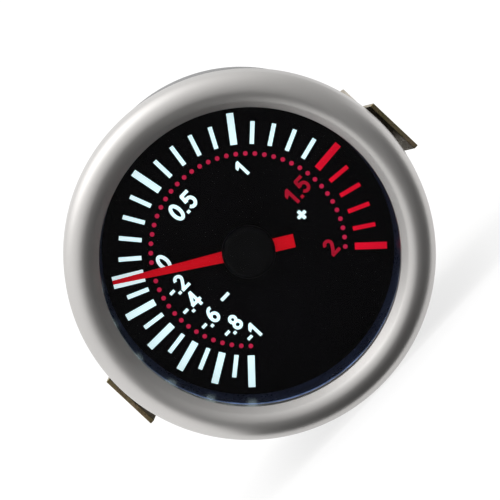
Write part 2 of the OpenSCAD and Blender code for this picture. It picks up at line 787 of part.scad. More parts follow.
module link() color("darkkhaki") difference() {
    at_depth(link_y, link_t) {
        bar(link_pin_centre, link_pin_centre + [0, link_l], link_w);
        translate(link_pin_centre) circle(link_pin_r + slip + link_eye_wall);
        translate(link_pin_centre + [0, link_l]) circle(open_pivot_hole_r + link_eye_wall);
    }
    at(link_pin_centre) rod(link_y - cut, link_t + 2 * cut, link_pin_r + slip);
    at(link_pin_centre + [0, link_l]) rod(link_y - cut, link_t + 2 * cut, open_pivot_hole_r);
}

module tube_tip() color("darkgoldenrod") {
    cap_front_y = tube_front_y - tip_cap_wall;
    half_r = tube_w / 2 + tip_cap_wall;
    arm_root = tube_r * [cos(tip_angle - tip_cap_arc / 2), sin(tip_angle - tip_cap_arc / 2)];
    difference() {
        union() {
            arc_sweep(tip_angle - tip_cap_arc, tip_cap_arc + tip_pocket_arc)
                band(tube_r - half_r, tube_r + half_r, cap_front_y, tube_rear_y + tip_cap_wall);
            at_depth(cap_front_y, tip_arm_t) {
                bar(arm_root, tip_pin_centre, tip_arm_w);
                translate(tip_pin_centre) circle(tip_eye_r);
            }
        }
        arc_sweep(tip_angle, tip_pocket_arc + cut) tube_section(slip);
    }
    at(tip_pin_centre) rod(link_y - tip_pin_overhang, cap_front_y - link_y + tip_pin_overhang, link_pin_r);
}

// Half of the bracket's bent sheet, seen from above
module bracket_half() {
    bend_out_r = bend_r + bracket_t;
    bend_y = bracket_depth - bend_r;
    band(0, leg_in_x - bend_r, bracket_depth, base_rear_y);
    translate([leg_in_x - bend_r, bend_y]) intersection() {
        difference() {
            circle(bend_out_r);
            circle(bend_r);
        }
        square(bend_out_r);
    }
    band(leg_in_x, leg_out_x, splay_depth, bend_y);
    polygon([
        [leg_in_x, splay_depth], [leg_out_x, splay_depth],
        [foot_x, foot_gap], [foot_x - foot_w, foot_gap]
    ]);
}

module clamp_bracket() color("#8a7b45") translate([0, 0, -rear_row_drop]) difference() {
    union() {
        translate([0, 0, -bracket_w / 2]) linear_extrude(bracket_w) {
            bracket_half();
            mirror([1, 0, 0]) bracket_half();
        }
        rod(bracket_depth, bracket_t, eye_r);
    }
    rod(bracket_depth - cut, bracket_t + 2 * cut, eye_hole_r);
    for (side = [-1, 1]) translate([side * stud_x, 0, 0])
        rod(bracket_depth - cut, bracket_t + 2 * cut, stud_r + loose);
}

module stud_washers() color("silver") for (side = [-1, 1]) at([side * stud_x, -rear_row_drop]) difference() {
    rod(washer_y, washer_t, washer_r);
    rod(washer_y - cut, washer_t + 2 * cut, stud_r + washer_clearance);
}

module lock_washers() color("gray") for (side = [-1, 1]) at([side * stud_x, -rear_row_drop])
    arc_sweep(0, lock_washer_arc)
        band(stud_r + washer_clearance, lock_washer_r, lock_washer_y, lock_washer_y + lock_washer_t);

// Nut on one stud
module stud_nut(side) at([side * stud_x, -rear_row_drop]) hexagon(nut_y, nut_t, nut_af, stud_r + slip);

module left_nut() color("silver") stud_nut(-1);

module right_nut() color("silver") stud_nut(1);

bezel();
lens();
lens_gasket();
can();
spacer_ring();
dial();
light_guide();
led_board();
led_lamps();
movement_front_plate();
movement_back_plate();
movement_pillars();
movement_screws();
movement_standoffs();
standoff_screws();
pressure_block();
stem_gasket();
stem_washer();
stem_nut();
hose_nipple();
restrictor();
wire_grommet();
bracket_studs();
bourdon_tube();
hairspring();
hairspring_stud();
pointer();
hub_cap();
pointer_bush();
pointer_arbor();
pinion();
hairspring_collet();
sector_gear();
sector_arbor();
link_pin();
link();
tube_tip();
clamp_bracket();
stud_washers();
lock_washers();
left_nut();
right_nut();
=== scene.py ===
import json
import math

import bmesh
import bpy
from mathutils import Matrix, Vector


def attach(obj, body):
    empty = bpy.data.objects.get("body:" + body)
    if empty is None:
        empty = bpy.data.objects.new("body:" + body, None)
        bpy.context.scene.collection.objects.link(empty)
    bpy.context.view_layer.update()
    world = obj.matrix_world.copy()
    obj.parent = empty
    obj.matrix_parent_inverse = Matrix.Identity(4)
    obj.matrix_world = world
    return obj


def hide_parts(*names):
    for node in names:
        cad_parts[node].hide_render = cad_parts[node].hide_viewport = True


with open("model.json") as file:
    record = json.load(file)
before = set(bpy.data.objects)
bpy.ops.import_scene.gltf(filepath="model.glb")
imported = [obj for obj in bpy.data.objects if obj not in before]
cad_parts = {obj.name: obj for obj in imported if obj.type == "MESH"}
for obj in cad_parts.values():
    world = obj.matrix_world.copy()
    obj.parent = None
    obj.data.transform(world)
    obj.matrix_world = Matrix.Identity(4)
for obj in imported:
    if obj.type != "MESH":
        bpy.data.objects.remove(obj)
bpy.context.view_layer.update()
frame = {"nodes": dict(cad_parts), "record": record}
scene = bpy.context.scene
MM = 0.001


# ---------------------------------------------------------------- materials
def nodes_of(name):
    m = bpy.data.materials.new(name)
    m.use_nodes = True
    nt = m.node_tree
    nt.nodes.clear()
    out = nt.nodes.new("ShaderNodeOutputMaterial")
    p = nt.nodes.new("ShaderNodeBsdfPrincipled")
    nt.links.new(p.outputs[0], out.inputs[0])
    return m, nt, p, out


def noise(nt, vector, scale, detail=3.0, rough=0.55):
    n = nt.nodes.new("ShaderNodeTexNoise")
    n.inputs["Scale"].default_value = scale
    n.inputs["Detail"].default_value = detail
    n.inputs["Roughness"].default_value = rough
    nt.links.new(vector, n.inputs["Vector"])
    return n.outputs["Fac"]


def remap(nt, value, a, b, lo=0.3, hi=0.7):
    n = nt.nodes.new("ShaderNodeMapRange")
    n.inputs["From Min"].default_value = lo
    n.inputs["From Max"].default_value = hi
    n.inputs["To Min"].default_value = a
    n.inputs["To Max"].default_value = b
    nt.links.new(value, n.inputs["Value"])
    return n.outputs["Result"]


def blend_rgb(nt, fac, a, b):
    n = nt.nodes.new("ShaderNodeMix")
    n.data_type = "RGBA"
    for socket, value in ((n.inputs[6], a), (n.inputs[7], b)):
        if isinstance(value, tuple):
            socket.default_value = (*value[:3], 1)
        else:
            nt.links.new(value, socket)
    nt.links.new(fac, n.inputs[0])
    return n.outputs[2]


def maths(nt, op, a, b=None):
    n = nt.nodes.new("ShaderNodeMath")
    n.operation = op
    for i, v in enumerate((a, b)):
        if v is None:
            continue
        if isinstance(v, (int, float)):
            n.inputs[i].default_value = v
        else:
            nt.links.new(v, n.inputs[i])
    return n.outputs[0]


def coords(nt, kind="plain", centre=(0, 0, 0), stretch=(1, 1, 1)):
    """Object coordinates; "turned" gives radius and depth round an axis along Y through centre."""
    tc = nt.nodes.new("ShaderNodeTexCoord")
    mp = nt.nodes.new("ShaderNodeMapping")
    mp.inputs["Location"].default_value = [-c for c in centre]
    nt.links.new(tc.outputs["Object"], mp.inputs["Vector"])
    if kind == "plain":
        mp.inputs["Scale"].default_value = stretch
        return mp.outputs["Vector"]
    sep = nt.nodes.new("ShaderNodeSeparateXYZ")
    nt.links.new(mp.outputs["Vector"], sep.inputs[0])
    r = maths(nt, "SQRT", maths(nt, "ADD", maths(nt, "MULTIPLY", sep.outputs[0], sep.outputs[0]),
                                maths(nt, "MULTIPLY", sep.outputs[2], sep.outputs[2])))
    com = nt.nodes.new("ShaderNodeCombineXYZ")
    nt.links.new(r, com.inputs[0])
    nt.links.new(sep.outputs[1], com.inputs[1])
    return com.outputs[0]


def finish(name, color, metal=0.0, rough=0.5, vary=0.12, spread=0.05, grain=0.6, bump=0.15, depth=0.02,
           kind="plain", centre=(0, 0, 0), patch=6.0, coat=0.0, coat_rough=0.1, spec=0.5,
           stretch=(1, 1, 1), emission=None, strength=0.0):
    """Principled material: colour drifts over patch (mm), and grain (mm) shows in bump and roughness."""
    m, nt, p, _ = nodes_of(name)
    v = coords(nt, "plain")
    fine = coords(nt, kind, centre, stretch)
    drift = noise(nt, v, 1000 / patch, 4)
    small = noise(nt, fine, 1000 / grain, 2)
    dark = tuple(c * (1 - vary) for c in color)
    light = tuple(min(1, c * (1 + vary)) for c in color)
    p.inputs["Base Color"].default_value = (*color, 1)
    nt.links.new(blend_rgb(nt, remap(nt, drift, 0, 1), dark, light), p.inputs["Base Color"])
    p.inputs["Metallic"].default_value = metal
    mix = maths(nt, "ADD", maths(nt, "MULTIPLY", small, 0.6), maths(nt, "MULTIPLY", drift, 0.4))
    nt.links.new(remap(nt, mix, max(0.02, rough - spread), min(1, rough + spread)), p.inputs["Roughness"])
    p.inputs["Specular IOR Level"].default_value = spec
    p.inputs["Coat Weight"].default_value = coat
    p.inputs["Coat Roughness"].default_value = coat_rough
    # Emission makes the surface glow by itself: a lamp's light on lamp_body, painted light on the prints,
    # pointer and navy ring.
    if emission:
        p.inputs["Emission Color"].default_value = (*emission, 1)
        p.inputs["Emission Strength"].default_value = strength
    b = nt.nodes.new("ShaderNodeBump")
    b.inputs["Strength"].default_value = bump
    b.inputs["Distance"].default_value = depth * MM
    nt.links.new(small, b.inputs["Height"])
    nt.links.new(b.outputs[0], p.inputs["Normal"])
    return m


REAR = (0, 0, -3 * MM)
MATS = {
    "bezel_silver": finish("satin_silver", (0.60, 0.585, 0.57), 1, 0.42, 0.03, 0.05, 0.12, 0.2, 0.004,
                           patch=14),
    "gasket_rubber": finish("gasket", (0.012, 0.012, 0.012), 0, 0.7, 0.2, 0.1, 0.3),
    "can_black": finish("can_enamel", (0.018, 0.018, 0.02), 0, 0.34, 0.15, 0.06, 0.9, 0.2, 0.02, patch=20,
                        coat=0.4, coat_rough=0.18),
    # The navy ring glows by its own emission: painted light, in place of lamp light caught round the lens's
    # edge.
    "trim_black": finish("ring_navy_painted_glow", (0.006, 0.008, 0.02), 0, 0.3, 0.2, 0.08, 0.4, 0.08, 0.006,
                         coat=0.2, coat_rough=0.15, emission=(0.016, 0.025, 0.050), strength=0.45),
    "dial_black": finish("dial_face", (0.0011, 0.0010, 0.0015), 0, 0.5, 0.4, 0.06, 0.15, 0.02, 0.001, patch=9,
                         spec=0.0),
    "guide_white": finish("guide_milky", (0.8, 0.83, 0.86), 0, 0.35, 0.04, 0.05, 0.8),
    "board_green": finish("board_mask", (0.015, 0.13, 0.055), 0, 0.35, 0.2, 0.08, 0.5, patch=3),
    "lamp_white": finish("lamp_body", (0.85, 0.85, 0.75), 0, 0.4, 0.05, 0.1, 0.3, emission=(0.9, 0.95, 1.0),
                         strength=0.5),
    "brass_plate": finish("brass_sheet", (0.72, 0.52, 0.22), 1, 0.32, 0.1, 0.08, 0.25, 0.2, 0.01,
                          stretch=(0.06, 1, 1)),
    "brass_turned": finish("brass_turned", (0.76, 0.56, 0.25), 1, 0.26, 0.08, 0.07, 0.16, 0.25, 0.008,
                           "turned", REAR),
    "brass_block": finish("brass_milled", (0.62, 0.45, 0.19), 1, 0.36, 0.14, 0.08, 0.3, 0.25, 0.01,
                          stretch=(1, 0.08, 1)),
    "steel_bright": finish("zinc_bright", (0.60, 0.61, 0.63), 1, 0.3, 0.1, 0.09, 0.35, 0.2, 0.008, patch=2.5),
    "steel_dark": finish("spring_steel_dark", (0.16, 0.16, 0.17), 1, 0.42, 0.2, 0.08, 0.3),
    "steel_ground": finish("steel_ground", (0.65, 0.65, 0.66), 1, 0.2, 0.05, 0.05, 0.1, 0.2, 0.004, "turned"),
    "fibre_red": finish("fibre", (0.3, 0.05, 0.03), 0, 0.75, 0.3, 0.1, 0.3, 0.4),
    "bronze_sintered": finish("bronze_sintered", (0.5, 0.32, 0.17), 1, 0.6, 0.2, 0.1, 0.15, 0.6, 0.02),
    "grommet_rubber": finish("grommet", (0.016, 0.016, 0.017), 0, 0.66, 0.2, 0.12, 0.4, 0.3, 0.02),
    "bronze_tube": finish("bronze_drawn", (0.6, 0.38, 0.18), 1, 0.3, 0.12, 0.08, 0.3, 0.2, 0.008),
    "spring_steel": finish("spring_blued", (0.2, 0.26, 0.42), 1, 0.28, 0.15, 0.06, 0.2),
    # The pointer's emission is painted light: it glows by itself so it stays bright behind the lens.
    "pointer_red": finish("pointer_paint_painted_glow", (0.44, 0.0005, 0.006), 0, 0.4, 0.08, 0.05, 0.25, 0.06, 0.004,
                          spec=0.06, emission=(0.62, 0.0, 0.01), strength=0.34),
    "cap_black": finish("cap_moulded", (0.0015, 0.0015, 0.002), 0, 0.4, 0.2, 0.05, 0.2, 0.04, 0.003,
                        spec=0.04),
    # The prints glow by their own emission: painted light, which keeps them bright behind the lens.
    "print_white": finish("print_white", (0.70, 0.86, 0.88), 0, 0.6, 0.06, 0.05, 0.2, patch=2.5, spec=0.05,
                          emission=(0.66, 0.93, 0.97), strength=0.58),
    "print_red": finish("print_red", (0.52, 0.0005, 0.015), 0, 0.6, 0.1, 0.05, 0.2, patch=3, spec=0.02,
                        emission=(0.75, 0.006, 0.03), strength=0.42),
    "print_dark_red": finish("print_dark_red", (0.28, 0.004, 0.016), 0, 0.6, 0.12, 0.05, 0.2, patch=3,
                             spec=0.02, emission=(0.42, 0.006, 0.03), strength=0.40),
    "print_crimson": finish("print_crimson", (0.36, 0.010, 0.045), 0, 0.6, 0.15, 0.05, 0.2, patch=3,
                            spec=0.05, emission=(0.5, 0.012, 0.06), strength=0.4),
}


def zinc_yellow():
    """Yellow chromate over zinc: olive gold that drifts to green and rose, with a brushed grain."""
    m, nt, p, _ = nodes_of("zinc_yellow")
    v = coords(nt)
    grain = noise(nt, coords(nt, stretch=(1, 0.12, 1)), 2600, 3)
    broad = noise(nt, v, 170, 4)
    hue = noise(nt, v, 420, 3)
    base = blend_rgb(nt, remap(nt, broad, 0, 1), (0.20, 0.15, 0.065), (0.36, 0.29, 0.16))
    tint = blend_rgb(nt, remap(nt, hue, 0, 1, 0.35, 0.65), (0.16, 0.165, 0.07), (0.50, 0.36, 0.29))
    nt.links.new(blend_rgb(nt, remap(nt, broad, 0.15, 0.55, 0.35, 0.65), base, tint), p.inputs["Base Color"])
    p.inputs["Metallic"].default_value = 1
    nt.links.new(remap(nt, grain, 0.22, 0.42), p.inputs["Roughness"])
    b = nt.nodes.new("ShaderNodeBump")
    b.inputs["Strength"].default_value = 0.25
    b.inputs["Distance"].default_value = 0.01 * MM
    nt.links.new(grain, b.inputs["Height"])
    nt.links.new(b.outputs[0], p.inputs["Normal"])
    return m


MATS["yellow_zinc"] = zinc_yellow()


def painted_edge_glint(m, y0, y1, strong, weak):
    """Paints a glint onto a moulding's front edge: it glows unevenly at depth y0 and fades towards y1,
    painted light in place of lamp light caught there.
    """
    nt = m.node_tree
    sep = nt.nodes.new("ShaderNodeSeparateXYZ")
    nt.links.new(coords(nt), sep.inputs[0])
    p = next(n for n in nt.nodes if n.bl_idname == "ShaderNodeBsdfPrincipled")
    glint_band = remap(nt, sep.outputs[1], strong, weak, y0, y1)
    glint_patches = remap(nt, noise(nt, coords(nt), 330, 2), 0.55, 1.7, 0.40, 0.68)
    nt.links.new(maths(nt, "MULTIPLY", glint_band, glint_patches), p.inputs["Emission Strength"])


# Painted glint: the ring's front edge glows in uneven patches.
painted_edge_glint(MATS["trim_black"], -1.45 * MM, -1.05 * MM, 5.5, 0.12)


def lens_glass():
    """Clear coated acrylic with little gloss of its own; light goes straight through it to the dial."""
    m, nt, p, out = nodes_of("lens_acrylic")
    p.inputs["Base Color"].default_value = (1, 1, 1, 1)
    p.inputs["Transmission Weight"].default_value = 1
    p.inputs["IOR"].default_value = 1.22
    p.inputs["Specular IOR Level"].default_value = 0.3
    p.inputs["Roughness"].default_value = 0.0
    smear = noise(nt, coords(nt), 60, 3)
    nt.links.new(remap(nt, smear, 0.0, 0.03), p.inputs["Roughness"])
    clear = nt.nodes.new("ShaderNodeBsdfTransparent")
    lp = nt.nodes.new("ShaderNodeLightPath")
    fac = maths(nt, "MAXIMUM", lp.outputs["Is Shadow Ray"], lp.outputs["Is Diffuse Ray"])
    mix = nt.nodes.new("ShaderNodeMixShader")
    nt.links.new(fac, mix.inputs[0])
    nt.links.new(p.outputs[0], mix.inputs[1])
    nt.links.new(clear.outputs[0], mix.inputs[2])
    nt.links.new(mix.outputs[0], out.inputs[0])
    return m


MATS["lens_acrylic"] = lens_glass()


# ------------------------------------------------------------------- meshes
def make(name, verts, faces, material, body, smooth=None):
    me = bpy.data.meshes.new(name)
    me.from_pydata([Vector(v) * MM for v in verts], [], faces)
    bm = bmesh.new()
    bm.from_mesh(me)
    bmesh.ops.recalc_face_normals(bm, faces=bm.faces)
    bm.to_mesh(me)
    bm.free()
    return place(name, me, material, body, smooth)


def place(name, me, material, body, smooth=None):
    me.materials.clear()
    me.materials.append(MATS[material] if isinstance(material, str) else material)
    o = bpy.data.objects.new(name, me)
    scene.collection.objects.link(o)
    if smooth is not None:
        me.shade_smooth()
        me.set_sharp_from_angle(angle=math.radians(smooth))
    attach(o, body)
    return o


def lathe(name, profile, material, body, steps=256, centre=(0, 0), smooth=35):
    """Turns a profile of (radius, depth) points in mm round an axis along Y."""
    verts, faces, n = [], [], len(profile)
    for i in range(steps):
        a = 2 * math.pi * i / steps
        verts += [(centre[0] + r * math.cos(a), y, centre[1] + r * math.sin(a)) for r, y in profile]
    for i in range(steps):
        j = (i + 1) % steps
        for k in range(n):
            l = (k + 1) % n
            faces.append((i * n + k, i * n + l, j * n + l, j * n + k))
    o = make(name, verts, faces, material, body)
    bm = bmesh.new()
    bm.from_mesh(o.data)
    bmesh.ops.remove_doubles(bm, verts=bm.verts, dist=1e-7)
    bmesh.ops.recalc_face_normals(bm, faces=bm.faces)
    bm.to_mesh(o.data)
    bm.free()
    o.data.shade_smooth()
    o.data.set_sharp_from_angle(angle=math.radians(smooth))
    return o


def arc(cx, cy, r, a0, a1, steps):
    """Points of (radius, depth) on an arc, angles from outward towards the front."""
    return [(cx + r * math.cos(math.radians(a0 + (a1 - a0) * i / steps)),
             cy - r * math.sin(math.radians(a0 + (a1 - a0) * i / steps))) for i in range(steps + 1)]


def prism(name, outlines, y0, y1, material, body):
    """Flat outlines of (x, z) points in mm, from depth y0 to y1."""
    verts, faces = [], []
    for pts in outlines:
        n, k = len(pts), len(verts)
        verts += [(x, y0, z) for x, z in pts] + [(x, y1, z) for x, z in pts]
        faces += [tuple(k + i for i in range(n)), tuple(k + n + i for i in reversed(range(n)))]
        faces += [(k + i, k + (i + 1) % n, k + n + (i + 1) % n, k + n + i) for i in range(n)]
    return make(name, verts, faces, material, body, 30)


def refined(node, body, slot, width, edge_angle=30):
    """A CAD node's shape with its seams joined and its edges broken by width (mm)."""
    src = frame["nodes"][node]
    bm = bmesh.new()
    bm.from_mesh(src.data)
    bmesh.ops.remove_doubles(bm, verts=bm.verts, dist=2e-7)
    bmesh.ops.dissolve_limit(bm, angle_limit=math.radians(0.6), verts=bm.verts, edges=bm.edges)
    bmesh.ops.recalc_face_normals(bm, faces=bm.faces)
    me = bpy.data.meshes.new(node + "_finished")
    bm.to_mesh(me)
    bm.free()
    o = place(node + "_finished", me, slot, body, edge_angle)
    m = o.modifiers.new("edge", "BEVEL")
    m.width = width * MM
    m.segments = 2
    m.limit_method = "ANGLE"
    m.angle_limit = math.radians(edge_angle)
    m.harden_normals = True
    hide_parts(node)
    return o


def polar(r, degrees):
    return (r * math.cos(math.radians(degrees)), r * math.sin(math.radians(degrees)))


CASE, HAND, CLAMP = "case_body", "pointer_body", "bracket_body"

# CAD nodes keep their shape and take the finish of their slot
for part in frame["record"]["subparts"]:
    o = frame["nodes"].get(part["node"])
    if o is None:
        continue
    o.data.materials.clear()
    o.data.materials.append(MATS[part["material_slot"]])

# -------------------------------------------------------------------- bezel
CROWN_X, LENS_Y = 27.05, -3.4
profile = [(26.32, 0.0), (29.75, 0.0)]
profile += arc(29.75, -0.25, 0.25, -90, 0, 4)
profile += arc(CROWN_X, -4.05, 2.95, 0, 90, 28)
profile += arc(CROWN_X, -4.6, 2.4, 90, 138, 24)[1:]
profile += arc(24.62, -5.18, 0.3, 138, 180, 6) + arc(24.42, LENS_Y - 0.24, 0.1, 180, 260, 6)
profile += [(24.32, LENS_Y), (28.48, LENS_Y), (28.48, -0.6), (26.32, -0.6)]
bezel = lathe("bezel_finished", profile, "bezel_silver", CASE, 360, smooth=50)
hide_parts("bezel")

# --------------------------------------------------------------- dial print
FACE, PRINT = 3.0, 0.03  # depth of the dial's face, height of the print
ZERO, VAC, PRESS = 147.3, 7.8, -9.6  # angle of 0 bar and the steps of 0.1 bar on both scales
POINT = 146.6  # angle of the pointer at rest
TICK_IN, TICK_MINOR, TICK_MAJOR = 17.3, 21.0, 22.5  # radii of the ticks' ends
DOT_RING, DOT_R = 15.75, 0.38


def tick(angle, r0, r1, w):
    c, s = math.cos(math.radians(angle)), math.sin(math.radians(angle))
    return [(r * c - t * s, r * s + t * c) for r, t in ((r0, -w / 2), (r1, -w / 2), (r1, w / 2), (r0, w / 2))]


white, red = [tick(ZERO, TICK_IN, TICK_MAJOR, 2.0)], []
for n in [*range(-10, 0), *range(1, 21)]:
    angle = ZERO + (-n * VAC if n < 0 else n * PRESS)
    major = n % 2 == 0 if n < 0 else n % 5 == 0
    mark = tick(angle, TICK_IN, TICK_MAJOR if major else TICK_MINOR, 1.13 if major else 0.7)
    (red if n >= 15 else white).append(mark)
prism("scale_marks_white", white, FACE - PRINT, FACE, "print_white", CASE)
prism("scale_marks_red", red, FACE - PRINT, FACE, "print_red", CASE)
dots = []
for i in range(49):
    cx, cz = polar(DOT_RING, 225.3 - i * 270 / 48)
    dots.append([(cx + DOT_R * math.cos(t * math.pi / 8), cz + DOT_R * math.sin(t * math.pi / 8))
                 for t in range(16)])
prism("scale_dots", dots, FACE - PRINT, FACE, "print_crimson", CASE)


def ribbon(points, w, closed=False):
    """Both edges of a stroke of width w along points, a little wider where it turns."""
    n, left, rite = len(points), [], []
    for i, (px, pz) in enumerate(points):
        after = points[(i + 1) % n] if closed or i + 1 < n else points[i]
        before = points[i - 1] if closed or i else points[0]
        tx, tz = after[0] - before[0], after[1] - before[1]
        k = math.hypot(tx, tz)
        along = math.atan2(tz, tx)
        out = math.atan2(after[1] - pz, after[0] - px) if after != points[i] else along
        into = math.atan2(pz - before[1], px - before[0]) if before != points[i] else along
        turn = (out - into + math.pi) % (2 * math.pi) - math.pi
        m = min(1.6, 1 / max(0.4, math.cos(turn) * 0.5 + 0.5) ** 0.5)
        left.append((px - tz / k * w / 2 * m, pz + tx / k * w / 2 * m))
        rite.append((px + tz / k * w / 2 * m, pz - tx / k * w / 2 * m))
    return left, rite


def curve(cx, cz, rx, rz, a0, a1, steps=18):
    return [(cx + rx * math.cos(math.radians(a0 + (a1 - a0) * i / steps)),
             cz + rz * math.sin(math.radians(a0 + (a1 - a0) * i / steps))) for i in range(steps + 1)]


# Centre lines of the figures in a box one high; a leading None closes the stroke on itself
FIGURES = {
    "0": [[None] + curve(0, 0, 0.2, 0.39, 0, 345, 23)],
    "2": [curve(0, 0.19, 0.2, 0.2, 172, -30) + [(0.02, -0.14), (-0.17, -0.36)],
          [(-0.27, -0.39), (0.31, -0.39)]],
    "4": [[(0.11, -0.5), (0.11, 0.5)], [(0.09, 0.42), (-0.25, -0.13)], [(-0.36, -0.18), (0.33, -0.18)]],
    "5": [[(0.29, 0.39), (-0.2, 0.39)], [(-0.15, 0.42), (-0.19, -0.02)],
          curve(-0.01, -0.14, 0.22, 0.25, 140, -152)],
    "6": [[None] + curve(0, -0.16, 0.2, 0.23, 0, 345, 23), curve(0.1, -0.13, 0.3, 0.52, 176, 72, 12)],
    "8": [[None] + curve(0, 0.2, 0.17, 0.19, 0, 345, 23), [None] + curve(0, -0.185, 0.2, 0.205, 0, 345, 23)],
    ".": [[(-0.1, -0.39), (0.1, -0.39)]],
}


STROKE, DROP = 0.182, 0.39  # of the height: width of a stroke, and how low a point sits


def figure(text, x, z, height, material, name):
    """One figure, drawn with heavy strokes on the dial round (x, z); a point is centred there."""
    verts, faces = [], []
    if text == ".":
        z += DROP * height
    for line in FIGURES[text]:
        closed = line[0] is None
        pts = [(px * height, pz * height) for px, pz in (line[1:] if closed else line)]
        left, rite = ribbon(pts, STROKE * height, closed)
        n, k = len(left), len(verts)
        for y in (FACE - PRINT, FACE):
            verts += [(x + px, y, z + pz) for px, pz in left + rite]
        for i in range(n if closed else n - 1):
            j = (i + 1) % n
            faces += [(k + i, k + j, k + n + j, k + n + i),
                      (k + 2 * n + i, k + 3 * n + i, k + 3 * n + j, k + 2 * n + j),
                      (k + i, k + 2 * n + i, k + 2 * n + j, k + j),
                      (k + n + i, k + n + j, k + 3 * n + j, k + 3 * n + i)]
        if not closed:
            faces += [(k + i, k + n + i, k + 3 * n + i, k + 2 * n + i) for i in (0, n - 1)]
    return make(name, verts, faces, material, CASE, 20)


def one(x, z, height, material, name):
    """The figure 1: a stem with a slanted flag."""
    w, f = height * 0.185, height * 0.22
    pts = [(w / 2, -height / 2), (w / 2, height / 2), (-w * 0.35, height / 2), (-w / 2 - f, height * 0.26),
           (-w / 2 - f, height * 0.06), (-w / 2, height * 0.17), (-w / 2, -height / 2)]
    return prism(name, [[(x + f / 2 + px, z + pz) for px, pz in pts]], FACE - PRINT, FACE, material, CASE)


W, D = "print_white", "print_dark_red"
NUMBERS = [  # figure, middle, height and ink
    ("0", -3.5, 12.6, 3.3, W), (".", -2.08, 11.3, 2.8, W), ("5", -0.66, 12.6, 3.2, W),
    ("1", 8.75, 9.88, 2.8, W),
    ("1", 10.95, 0.86, 3.0, D), (".", 12.32, -0.36, 2.8, D), ("5", 13.72, 0.93, 3.0, D),
    ("2", 9.49, -9.44, 3.0, D),
    ("0", -10.88, 8.45, 3.2, W),
    ("2", -11.32, 4.25, 2.9, W), (".", -12.62, 3.15, 2.7, W),
    ("4", -11.85, 0.75, 2.9, W), (".", -13.24, -0.45, 2.7, W),
    ("6", -11.62, -3.17, 2.9, W), (".", -12.93, -4.35, 2.7, W),
    ("8", -9.97, -6.66, 2.9, W), (".", -11.25, -7.82, 2.7, W),
    ("1", -8.91, -9.84, 2.8, W),
]
for i, (c, x, z, h, m) in enumerate(NUMBERS):
    if c == "1":
        one(x, z, h, m, f"number_{i:02d}")
    else:
        figure(c, x, z, h, m, f"number_{i:02d}")


def bar_mark(x, z, w, h):
    return [(x - w / 2, z - h / 2), (x + w / 2, z - h / 2), (x + w / 2, z + h / 2), (x - w / 2, z + h / 2)]


signs = [bar_mark(x, z, 0.95, 0.5) for x, z in
         ((-13.45, 4.1), (-14.17, 0.41), (-13.85, -3.45), (-12.14, -6.97), (-10.17, -10.15))]
signs.append(bar_mark(-8.1, -2.57, 1.7, 0.55))
prism("minus_signs", signs, FACE - PRINT, FACE, "print_white", CASE)
ARM, HALF = 0.85, 0.28  # reach and half width of the plus sign's bars
plus = [(-ARM, -HALF), (-HALF, -HALF), (-HALF, -ARM), (HALF, -ARM), (HALF, -HALF), (ARM, -HALF),
        (ARM, HALF), (HALF, HALF), (HALF, ARM), (-HALF, ARM), (-HALF, HALF), (-ARM, HALF)]
prism("plus_sign", [[(10.1 + x, -2.35 + z) for x, z in plus]], FACE - PRINT, FACE, "print_white", CASE)

# ------------------------------------------------------------------ pointer
PY0, PY1 = 1.1, 1.7


def blade(a, length0, length1, w0, w1, ridge):
    """Half-round blade: two flanks that meet in a low ridge, over a flat back."""
    verts = []
    for r, w in ((length0, w0), (length1, w1)):
        for t, y in ((-w / 2, PY1), (-w / 2, PY1 - 0.3), (0, PY1 - ridge), (w / 2, PY1 - 0.3), (w / 2, PY1)):
            x, z = polar(1, a)
            verts.append((r * x - t * z, y, r * z + t * x))
    faces = [(0, 1, 2, 3, 4), (9, 8, 7, 6, 5)]
    faces += [(i, (i + 1) % 5, 5 + (i + 1) % 5, 5 + i) for i in range(5)]
    return verts, faces


v1, f1 = blade(POINT, 1.0, 22.5, 2.08, 0.65, 0.6)
v2, f2 = blade(POINT + 180, 1.0, 7.6, 2.2, 2.2, 0.6)
hand = make("pointer_finished", v1 + v2, f1 + [tuple(i + len(v1) for i in f) for f in f2], "pointer_red",
            HAND, 20)
m = hand.modifiers.new("edge", "BEVEL")
m.width, m.segments, m.limit_method = 0.06 * MM, 2, "ANGLE"
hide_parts("pointer")
hub = lathe("pointer_hub", [(0.62, PY0), (2.6, PY0), (2.6, PY1), (0.62, PY1)], "pointer_red", HAND,
            96)

# Hub cap
cap = [(0.66, 1.1), (4.2, 1.1)] + arc(4.25, 1.0, 0.1, -90, 0, 3) + arc(3.35, 0.5, 1.0, 0, 78, 14)
cap += [(2.6, -0.49), (1.6, -0.5), (0.0, -0.5), (0.0, 0.7), (0.66, 0.7)]
hubcap = lathe("hub_cap_finished", cap, "cap_black", HAND, 128, smooth=40)
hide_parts("hub_cap")

# ------------------------------------------------------------ outside metal
refined("can", CASE, "can_black", 0.15)
refined("clamp_bracket", CLAMP, "yellow_zinc", 0.1)
refined("stud_washers", CLAMP, "steel_bright", 0.08)
refined("lock_washers", CLAMP, "steel_dark", 0.08)
refined("left_nut", "left_nut_body", "steel_bright", 0.06)
refined("right_nut", "right_nut_body", "steel_bright", 0.06)
refined("stem_nut", CASE, "brass_turned", 0.08)
refined("stem_washer", CASE, "steel_bright", 0.06)
refined("hose_nipple", CASE, "brass_turned", 0.06)


